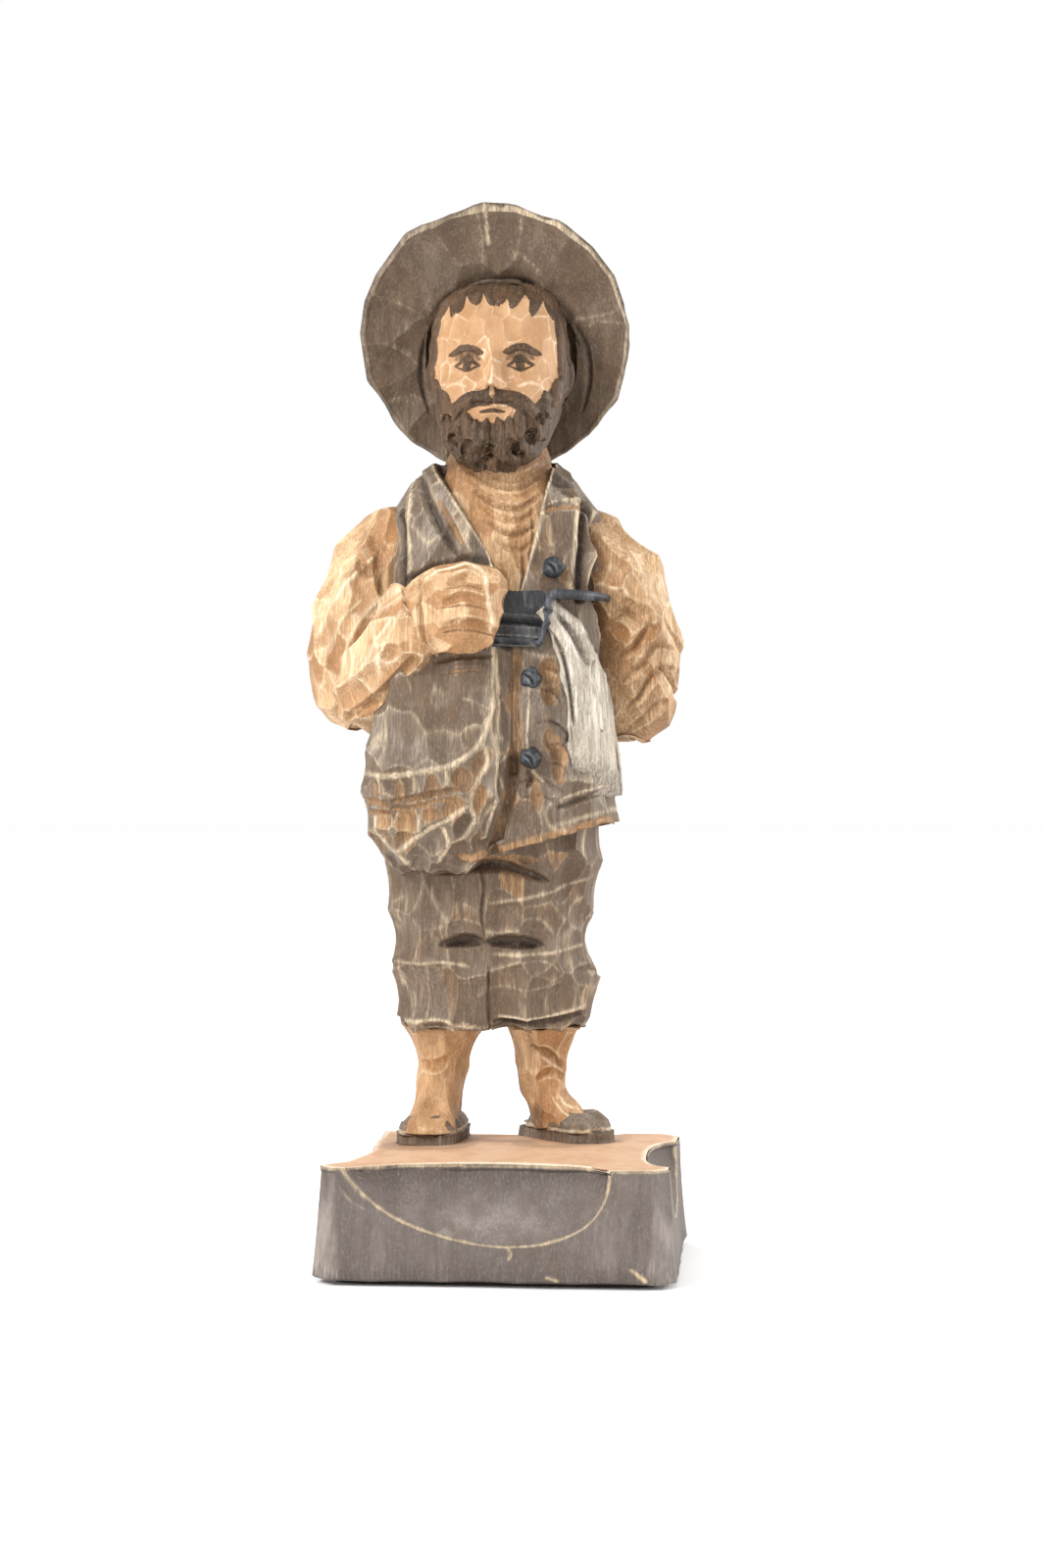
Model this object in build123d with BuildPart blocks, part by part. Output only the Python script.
"""Carved wooden figurine: a bearded countryman in a broad hat, standing on a scooped block.

Millimetres, +Z up, the figure faces -Y. The origin is the middle of the underside.
Left and right are the figure's own, so its right side is at -X.
The figure is built up from limewood blanks that are pegged and glued together. Each blank is
one node, cut back by the pieces that it is fitted over, and each peg sits line to line in the
holes that it is driven into.
"""

import os
from math import cos, radians, sin

from build123d import *

# Driving dimensions
FELT_THICKNESS, FELT_INSET = 0.8, 6.0
BASE_WIDTH, BASE_DEPTH, BASE_TOP = 64.0, 54.0, 20.4
BASE_TAPER_DEG, BASE_CORNER = 3.5, 3.0
FELT_CORNER = 4.0
SCOOP_RADIUS, SCOOP_TILT, SCOOP_BITE = 50.0, radians(29), 5.8
SOLE_THICKNESS, UPPER_HEIGHT, UPPER_TAPER_DEG, SHOE_CORNER = 2.7, 3.4, 18, 5.5
SOLE_TOP = BASE_TOP + SOLE_THICKNESS
TROUSER_HEM, WAIST, COLLAR = 42.0, 78.0, 151.0
TROUSER_TOP = 86.0
SEAM_GROOVE_PLACES = [(-3.4, 0.6), (-3.4, 25.4)]
SEAM_GROOVE_WIDTH, SEAM_GROOVE_HEIGHT = 1.8, 24.0
SASH_BOTTOM, SASH_TOP = 113.5, 124.0
SASH_END = -6.0
SHOULDER_DEPTH = 10.5
NOSE_WIDTH = 3.8
HAT_CENTRE = (-3.4, 16.0, 171.5)
HAT_TILT = radians(70)
BRIM_RADIUS, BRIM_EDGE, BRIM_DISH = 24.8, 3.0, 2.4
CROWN_RADIUS, CROWN_HEIGHT = 14.6, 11.5
THIN_PEG, STOUT_PEG = 1.5, 3.0

# How far a cutting outline is carried, which is past the whole figure
FAR = 60.0

# Sections of the lofted blanks: height, centre x, centre y, half width, half depth
SHIRT_SECTIONS = [
    (WAIST, -3.0, 10.2, 17.5, 12.7),
    (92, -3.0, 9.0, 18.5, 14.0),
    (106, -3.0, 8.5, 18.5, 14.5),
    (120, -3.0, 9.5, 18.0, 13.0),
    (132, -2.8, SHOULDER_DEPTH, 17.5, 11.5),
    (140, -2.6, 11.0, 14.5, 10.0),
    (146, -2.5, 11.5, 9.5, 8.5),
    (COLLAR, -2.4, 12.0, 8.0, 7.5),
]
WAISTCOAT_SECTIONS = [
    (71, -3.0, 9.8, 21.8, 16.0),
    (82, -3.2, 8.8, 23.4, 17.4),
    (92, -3.2, 8.3, 23.2, 17.4),
    (106, -3.0, 8.4, 21.6, 17.0),
    (120, -3.0, 9.4, 20.8, 15.6),
    (132, -2.8, SHOULDER_DEPTH, 20.4, 14.0),
    (140, -2.6, 11.0, 17.6, 12.4),
    (146.5, -2.5, 11.6, 12.6, 10.6),
]
FLAP_SECTIONS = [
    (70, -14.5, 4.5, 8.0, 7.5),
    (75, -14.5, 3.5, 12.0, 11.5),
    (84, -14.3, 2.5, 14.0, 13.0),
    (95, -13.6, 2.5, 13.6, 12.6),
    (106, -12.6, 3.2, 12.2, 11.6),
    (114, -11.5, 4.5, 9.8, 9.6),
]
TROUSER_SECTIONS = [
    (TROUSER_HEM, -2.8, 13.0, 18.6, 11.8),
    (55, -3.0, 12.5, 19.2, 12.6),
    (68, -3.0, 11.5, 20.2, 13.6),
    (TROUSER_TOP, -3.0, 9.6, 20.8, 15.0),
]
HEAD_SECTIONS = [
    (145.5, -2.4, 4.2, 4.6, 4.2),
    (150, -2.4, 7.0, 9.0, 8.6),
    (156, -2.4, 9.0, 11.4, 11.0),
    (164, -2.4, 10.6, 12.5, 12.3),
    (172, -2.4, 11.6, 12.3, 12.0),
    (178, -2.4, 12.6, 10.0, 9.8),
    (182, -2.4, 13.2, 5.6, 5.4),
]
# Sections of the legs: height, centre x, centre y, half width, half length, turn of the foot
RIGHT_LEG_SECTIONS = [
    (SOLE_TOP, -14.2, 11.6, 5.4, 9.6, -4),
    (26, -14.0, 12.2, 5.0, 8.0, -4),
    (29.5, -13.8, 13.0, 4.4, 6.0, -4),
    (34, -13.6, 13.4, 4.1, 4.9, -4),
    (38, -13.2, 13.2, 5.4, 5.9, -4),
    (TROUSER_HEM, -12.6, 13.0, 7.2, 7.6, -4),
]
LEFT_LEG_SECTIONS = [
    (SOLE_TOP, 9.8, 16.0, 5.2, 8.6, 38),
    (26, 8.4, 16.4, 4.9, 7.2, 36),
    (29.5, 6.6, 16.4, 4.5, 5.8, 32),
    (34, 5.2, 15.8, 4.1, 4.8, 28),
    (38, 5.5, 14.8, 5.0, 5.6, 26),
    (TROUSER_HEM, 6.2, 14.0, 6.4, 7.2, 24),
]
# Shoes, seen from above: centre and turn, then length and width of the sole and of the upper
RIGHT_SHOE_PLACE, RIGHT_SOLE, RIGHT_UPPER = Location((-14.2, 12.5), -4), (13.2, 23.0), (12.4, 21.8)
LEFT_SHOE_PLACE, LEFT_SOLE, LEFT_UPPER = Location((9.8, 16.3), 38), (13.0, 20.4), (12.2, 19.4)
# Sections of the arms: centre, direction of the arm there, radius. Each elbow is a ball.
RIGHT_UPPER_ARM = [
    ((-17.0, 11.0, 137.5), (-0.60, 0.0, -0.80), 7.2),
    ((-25.2, 10.6, 127.0), (-0.40, -0.10, -0.90), 9.6),
    ((-29.2, 8.6, 115.0), (-0.15, -0.20, -0.97), 10.1),
    ((-29.6, 6.5, 107.0), (0.0, -0.25, -0.97), 9.4),
]
RIGHT_FOREARM = [
    ((-29.0, 5.5, 107.0), (0.68, -0.66, 0.32), 9.2),
    ((-23.0, -1.0, 110.5), (0.68, -0.66, 0.32), 8.8),
    ((-16.0, -7.4, 115.0), (0.68, -0.66, 0.32), 6.8),
]
RIGHT_ELBOW, RIGHT_ELBOW_RADIUS = (-29.4, 6.2, 107.2), 9.8
LEFT_UPPER_ARM = [
    ((12.5, 11.0, 136.5), (0.60, 0.0, -0.80), 7.2),
    ((19.4, 11.2, 127.0), (0.38, 0.05, -0.92), 9.2),
    ((22.8, 12.4, 115.0), (0.12, 0.15, -0.98), 9.7),
    ((22.8, 14.5, 106.5), (0.0, 0.25, -0.97), 9.2),
]
LEFT_FOREARM = [
    ((22.6, 14.8, 106.0), (-0.78, 0.60, -0.15), 9.0),
    ((14.6, 22.0, 103.4), (-0.82, 0.55, -0.10), 7.4),
    ((8.0, 25.4, 103.6), (-0.92, 0.38, 0.0), 5.6),
]
LEFT_ELBOW, LEFT_ELBOW_RADIUS = (22.7, 14.8, 106.0), 9.5
# Outline of the opening that shows the shirt, seen from the front. It is cut from the shoulders
# forward.
NECK_OPENING = [(-15, 149), (-4, 130), (-1.8, 123.5), (2.4, 123.5), (4.2, 135), (7.4, 150), (0, 156)]
# What is cut from the waistcoat's hem, which rises to the left, seen from the front
HEM_CUT = [(-2, 72.5), (22, 82.5), (40, 82.5), (40, 60), (-2, 60)]
SASH_SECTIONS = [
    (SASH_BOTTOM, -3.0, 9.0, 23.0, 18.0),
    (SASH_TOP, -3.0, 9.8, 22.2, 17.0),
]
# Sections of the hands: centre, half height, half thickness
RIGHT_HAND_SECTIONS = [
    ((-17.5, -6.4, 116.4), 6.4, 4.6),
    ((-12.5, -8.4, 119.0), 8.0, 4.8),
    ((-7.0, -8.8, 120.2), 8.4, 4.4),
    ((-2.6, -8.0, 120.0), 7.8, 3.2),
]
LEFT_HAND_SECTIONS = [
    ((9.5, 25.2, 103.6), 4.8, 4.0),
    ((5.0, 25.8, 104.6), 6.4, 4.4),
    ((0.0, 25.6, 105.0), 6.2, 4.0),
    ((-4.5, 25.0, 104.6), 4.6, 3.2),
]
# Buttons on the left front: x, y, height of the middle of each
BUTTON_PLACES = [(7.5, -3.0, 128.0), (3.8, -7.6, 107.3), (3.6, -8.6, 92.6)]
BUTTON_RADIUS = 1.9
# Profile of the nose, seen from the side: depth, height
NOSE_OUTLINE = [(2.0, 170), (-0.6, 169), (-4.0, 162.6), (2.0, 161.6)]
# Pegs: middle of the starting end, direction, length
RIGHT_LEG_PEG = ((-13.7, 13.2, 12), (0, 0, 1), 42)
LEFT_LEG_PEG = ((5.7, 15.6, 12), (0, 0, 1), 42)
WAIST_PEG = ((-3.0, 10.5, 66), (0, 0, 1), 24)
NECK_PEG = ((-2.4, 12.0, 140), (0, 0, 1), 20)
RIGHT_SHOULDER_PEG = ((-11.0, 11.0, 134), (-0.92, 0, -0.38), 16)
LEFT_SHOULDER_PEG = ((6.4, 11.0, 134), (0.92, 0, -0.38), 15)
HAT_PEG = ((-3.0, 15.0, 169), (0, 1, 0), 10.6)

os.makedirs("parts", exist_ok=True)

# Pegs that hold the blanks together. They come first, because every blank is drilled for them.
with BuildPart() as right_leg_peg:
    with BuildSketch(Plane(RIGHT_LEG_PEG[0], z_dir=RIGHT_LEG_PEG[1])):
        Circle(THIN_PEG)
    extrude(amount=RIGHT_LEG_PEG[2])

with BuildPart() as left_leg_peg:
    with BuildSketch(Plane(LEFT_LEG_PEG[0], z_dir=LEFT_LEG_PEG[1])):
        Circle(THIN_PEG)
    extrude(amount=LEFT_LEG_PEG[2])

with BuildPart() as waist_peg:
    with BuildSketch(Plane(WAIST_PEG[0], z_dir=WAIST_PEG[1])):
        Circle(STOUT_PEG)
    extrude(amount=WAIST_PEG[2])

with BuildPart() as neck_peg:
    with BuildSketch(Plane(NECK_PEG[0], z_dir=NECK_PEG[1])):
        Circle(STOUT_PEG)
    extrude(amount=NECK_PEG[2])

with BuildPart() as right_shoulder_peg:
    with BuildSketch(Plane(RIGHT_SHOULDER_PEG[0], z_dir=RIGHT_SHOULDER_PEG[1])):
        Circle(THIN_PEG)
    extrude(amount=RIGHT_SHOULDER_PEG[2])

with BuildPart() as left_shoulder_peg:
    with BuildSketch(Plane(LEFT_SHOULDER_PEG[0], z_dir=LEFT_SHOULDER_PEG[1])):
        Circle(THIN_PEG)
    extrude(amount=LEFT_SHOULDER_PEG[2])

with BuildPart() as hat_peg:
    with BuildSketch(Plane(HAT_PEG[0], z_dir=HAT_PEG[1])):
        Circle(THIN_PEG)
    extrude(amount=HAT_PEG[2])

# The felt under the block keeps it from scratching what it stands on.
with BuildPart() as base_felt:
    with BuildSketch():
        RectangleRounded(BASE_WIDTH - FELT_INSET, BASE_DEPTH - FELT_INSET, FELT_CORNER)
    extrude(amount=FELT_THICKNESS)

# The block tapers a little, and a big gouge has scooped the top edge of each of its sides.
with BuildPart() as base_block:
    with BuildSketch(Plane.XY.offset(FELT_THICKNESS)) as base_outline:
        Rectangle(BASE_WIDTH, BASE_DEPTH)
        chamfer(base_outline.vertices(), BASE_CORNER)
    extrude(amount=BASE_TOP - FELT_THICKNESS, taper=BASE_TAPER_DEG)
    for turn, half_span in ((0, BASE_DEPTH / 2), (90, BASE_WIDTH / 2)):
        for side in (0, 180):
            away = half_span - SCOOP_BITE + SCOOP_RADIUS / cos(SCOOP_TILT)
            facing = radians(turn + side)
            outward = Vector(sin(facing), -cos(facing), 0)
            axis = Vector(0, 0, cos(SCOOP_TILT)) - outward * sin(SCOOP_TILT)
            with Locations(Plane(outward * away + Vector(0, 0, BASE_TOP), z_dir=axis)):
                Cylinder(SCOOP_RADIUS, 3 * SCOOP_RADIUS, mode=Mode.SUBTRACT)
    add([peg.part for peg in (right_leg_peg, left_leg_peg)], mode=Mode.SUBTRACT)

# Each leg is the calf and the top of the foot, which runs out along the sole.
with BuildPart() as right_leg:
    for height, x, y, half_width, half_length, turn in RIGHT_LEG_SECTIONS:
        with BuildSketch(Plane.XY.offset(height)):
            with Locations((x, y)):
                Ellipse(half_width, half_length, rotation=turn)
    loft()
    add(right_leg_peg.part, mode=Mode.SUBTRACT)

with BuildPart() as left_leg:
    for height, x, y, half_width, half_length, turn in LEFT_LEG_SECTIONS:
        with BuildSketch(Plane.XY.offset(height)):
            with Locations((x, y)):
                Ellipse(half_width, half_length, rotation=turn)
    loft()
    add(left_leg_peg.part, mode=Mode.SUBTRACT)

# The shoes are a sole and a low upper, open over the instep.
with BuildPart() as right_shoe:
    with BuildSketch(Plane.XY.offset(BASE_TOP)):
        with Locations(RIGHT_SHOE_PLACE):
            RectangleRounded(*RIGHT_SOLE, SHOE_CORNER)
    extrude(amount=SOLE_THICKNESS)
    with BuildSketch(Plane.XY.offset(SOLE_TOP)):
        with Locations(RIGHT_SHOE_PLACE):
            RectangleRounded(*RIGHT_UPPER, SHOE_CORNER)
    extrude(amount=UPPER_HEIGHT, taper=UPPER_TAPER_DEG)
    add([neighbour.part for neighbour in (right_leg, right_leg_peg)], mode=Mode.SUBTRACT)

with BuildPart() as left_shoe:
    with BuildSketch(Plane.XY.offset(BASE_TOP)):
        with Locations(LEFT_SHOE_PLACE):
            RectangleRounded(*LEFT_SOLE, SHOE_CORNER)
    extrude(amount=SOLE_THICKNESS)
    with BuildSketch(Plane.XY.offset(SOLE_TOP)):
        with Locations(LEFT_SHOE_PLACE):
            RectangleRounded(*LEFT_UPPER, SHOE_CORNER)
    extrude(amount=UPPER_HEIGHT, taper=UPPER_TAPER_DEG)
    add([neighbour.part for neighbour in (left_leg, left_leg_peg)], mode=Mode.SUBTRACT)

# The body in its shirt, from the waist to the neck.
body_pegs = (waist_peg, neck_peg, right_shoulder_peg, left_shoulder_peg)
with BuildPart() as shirt:
    for height, x, y, half_width, half_depth in SHIRT_SECTIONS:
        with BuildSketch(Plane.XY.offset(height)):
            with Locations((x, y)):
                Ellipse(half_width, half_depth)
    loft()
    add([peg.part for peg in body_pegs], mode=Mode.SUBTRACT)

# Short trousers, cut as one blank with a groove between the legs in front and behind. The body
# is let into their top.
with BuildPart() as trousers:
    for height, x, y, half_width, half_depth in TROUSER_SECTIONS:
        with BuildSketch(Plane.XY.offset(height)):
            with Locations((x, y)):
                Ellipse(half_width, half_depth)
    loft()
    with BuildSketch(Plane.XY.offset(TROUSER_HEM)):
        with Locations(*SEAM_GROOVE_PLACES):
            Rectangle(SEAM_GROOVE_WIDTH, SEAM_GROOVE_WIDTH, rotation=45)
    extrude(amount=SEAM_GROOVE_HEIGHT, mode=Mode.SUBTRACT)
    add([neighbour.part for neighbour in (shirt, right_leg_peg, left_leg_peg, waist_peg)], mode=Mode.SUBTRACT)

# The bearded head. Its face is plain here: brow, nose and beard stand out from a rounded blank.
with BuildPart() as head:
    for height, x, y, half_width, half_depth in HEAD_SECTIONS:
        with BuildSketch(Plane.XY.offset(height)):
            with Locations((x, y)):
                Ellipse(half_width, half_depth)
    loft()
    with BuildSketch(Plane.YZ.offset(-2.4)):
        Polygon(*NOSE_OUTLINE, align=None)
    extrude(amount=NOSE_WIDTH / 2, both=True)
    add([neighbour.part for neighbour in (shirt, neck_peg, hat_peg)], mode=Mode.SUBTRACT)

# The hat sits on the back of the head, so the underside of its brim faces forward.
# Its profile is drawn in a plane through its axis: x runs out along the brim, y into the crown.
hat_axis = Vector(0, sin(HAT_TILT), cos(HAT_TILT))
with BuildPart() as hat:
    with BuildSketch(Plane(HAT_CENTRE, x_dir=(1, 0, 0), z_dir=Vector(1, 0, 0).cross(hat_axis))):
        with BuildLine():
            Polyline(
                (0, CROWN_HEIGHT),
                (0, 0),
                (CROWN_RADIUS, 0),
                (BRIM_RADIUS, -BRIM_DISH),
                (BRIM_RADIUS, BRIM_EDGE - BRIM_DISH),
                (CROWN_RADIUS + 1.2, BRIM_EDGE + 0.4),
            )
            Spline(
                (CROWN_RADIUS + 1.2, BRIM_EDGE + 0.4),
                (CROWN_RADIUS - 3.0, CROWN_HEIGHT - 2.6),
                (0, CROWN_HEIGHT),
            )
        make_face()
    revolve(axis=Axis(HAT_CENTRE, hat_axis))
    add([neighbour.part for neighbour in (head, hat_peg)], mode=Mode.SUBTRACT)

# The waistcoat is a shell over the shirt. Its right front hangs out in a full, rounded flap.
with BuildPart() as flap:
    for height, x, y, half_width, half_depth in FLAP_SECTIONS:
        with BuildSketch(Plane.XY.offset(height)):
            with Locations((x, y)):
                Ellipse(half_width, half_depth)
    loft()

with BuildPart() as waistcoat:
    for height, x, y, half_width, half_depth in WAISTCOAT_SECTIONS:
        with BuildSketch(Plane.XY.offset(height)):
            with Locations((x, y)):
                Ellipse(half_width, half_depth)
    loft()
    with BuildSketch(Plane.XZ):
        Polygon(*HEM_CUT, align=None)
    extrude(amount=FAR, both=True, mode=Mode.SUBTRACT)
    add(flap.part)
    with BuildSketch(Plane.XZ.offset(-SHOULDER_DEPTH)):
        Polygon(*NECK_OPENING, align=None)
    extrude(amount=FAR, mode=Mode.SUBTRACT)
    add([neighbour.part for neighbour in (shirt, trousers, head, *body_pegs)], mode=Mode.SUBTRACT)

# The sash is a broad band round the waistcoat, which the flap and the right hand hide in front.
with BuildPart() as sash:
    for height, x, y, half_width, half_depth in SASH_SECTIONS:
        with BuildSketch(Plane.XY.offset(height)):
            with Locations((x, y)):
                Ellipse(half_width, half_depth)
    loft()
    with BuildSketch(Plane.XY.offset(SASH_BOTTOM)):
        with Locations((SASH_END, 0)):
            Rectangle(FAR, FAR, align=(Align.MAX, Align.MAX))
    extrude(amount=SASH_TOP - SASH_BOTTOM, mode=Mode.SUBTRACT)
    add([neighbour.part for neighbour in (shirt, waistcoat)], mode=Mode.SUBTRACT)

# Full sleeves. The right arm bends forward to the chest, and the left one goes behind the back.
with BuildPart() as right_sleeve:
    for arm in (RIGHT_UPPER_ARM, RIGHT_FOREARM):
        for centre, direction, radius in arm:
            with BuildSketch(Plane(centre, x_dir=(0, 1, 0), z_dir=direction)):
                Circle(radius)
        loft()
    with Locations(RIGHT_ELBOW):
        Sphere(RIGHT_ELBOW_RADIUS)
    add([neighbour.part for neighbour in (shirt, waistcoat, sash, right_shoulder_peg)], mode=Mode.SUBTRACT)

with BuildPart() as left_sleeve:
    for arm in (LEFT_UPPER_ARM, LEFT_FOREARM):
        for centre, direction, radius in arm:
            with BuildSketch(Plane(centre, x_dir=(0, 1, 0), z_dir=direction)):
                Circle(radius)
        loft()
    with Locations(LEFT_ELBOW):
        Sphere(LEFT_ELBOW_RADIUS)
    add([neighbour.part for neighbour in (shirt, waistcoat, sash, left_shoulder_peg)], mode=Mode.SUBTRACT)

# The right hand is tucked under the edge of the waistcoat, and the left one rests on the back.
with BuildPart() as right_hand:
    for centre, half_height, half_thickness in RIGHT_HAND_SECTIONS:
        with BuildSketch(Plane(centre, x_dir=(0, 0, 1), z_dir=(1, -0.1, 0.05))):
            Ellipse(half_height, half_thickness)
    loft()
    add([neighbour.part for neighbour in (shirt, waistcoat, sash, right_sleeve)], mode=Mode.SUBTRACT)

with BuildPart() as left_hand:
    for centre, half_height, half_thickness in LEFT_HAND_SECTIONS:
        with BuildSketch(Plane(centre, x_dir=(0, 0, 1), z_dir=(-1, 0, 0.05))):
            Ellipse(half_height, half_thickness)
    loft()
    add([neighbour.part for neighbour in (shirt, waistcoat, sash, left_sleeve)], mode=Mode.SUBTRACT)

# Three buttons stand on the left front, each a low dome.
with BuildPart() as buttons:
    for x, depth, height in BUTTON_PLACES:
        with Locations((x, depth, height)):
            Sphere(BUTTON_RADIUS)
    add([neighbour.part for neighbour in (shirt, waistcoat, sash)], mode=Mode.SUBTRACT)

pieces = {
    "base_felt": base_felt,
    "base_block": base_block,
    "right_shoe": right_shoe,
    "left_shoe": left_shoe,
    "right_leg": right_leg,
    "left_leg": left_leg,
    "trousers": trousers,
    "shirt": shirt,
    "waistcoat": waistcoat,
    "sash": sash,
    "right_sleeve": right_sleeve,
    "left_sleeve": left_sleeve,
    "right_hand": right_hand,
    "left_hand": left_hand,
    "buttons": buttons,
    "head": head,
    "hat": hat,
    "hat_peg": hat_peg,
    "neck_peg": neck_peg,
    "waist_peg": waist_peg,
    "right_shoulder_peg": right_shoulder_peg,
    "left_shoulder_peg": left_shoulder_peg,
    "right_leg_peg": right_leg_peg,
    "left_leg_peg": left_leg_peg,
}
for name, piece in pieces.items():
    piece.part.label = name
    export_step(piece.part, f"parts/{name}.step")
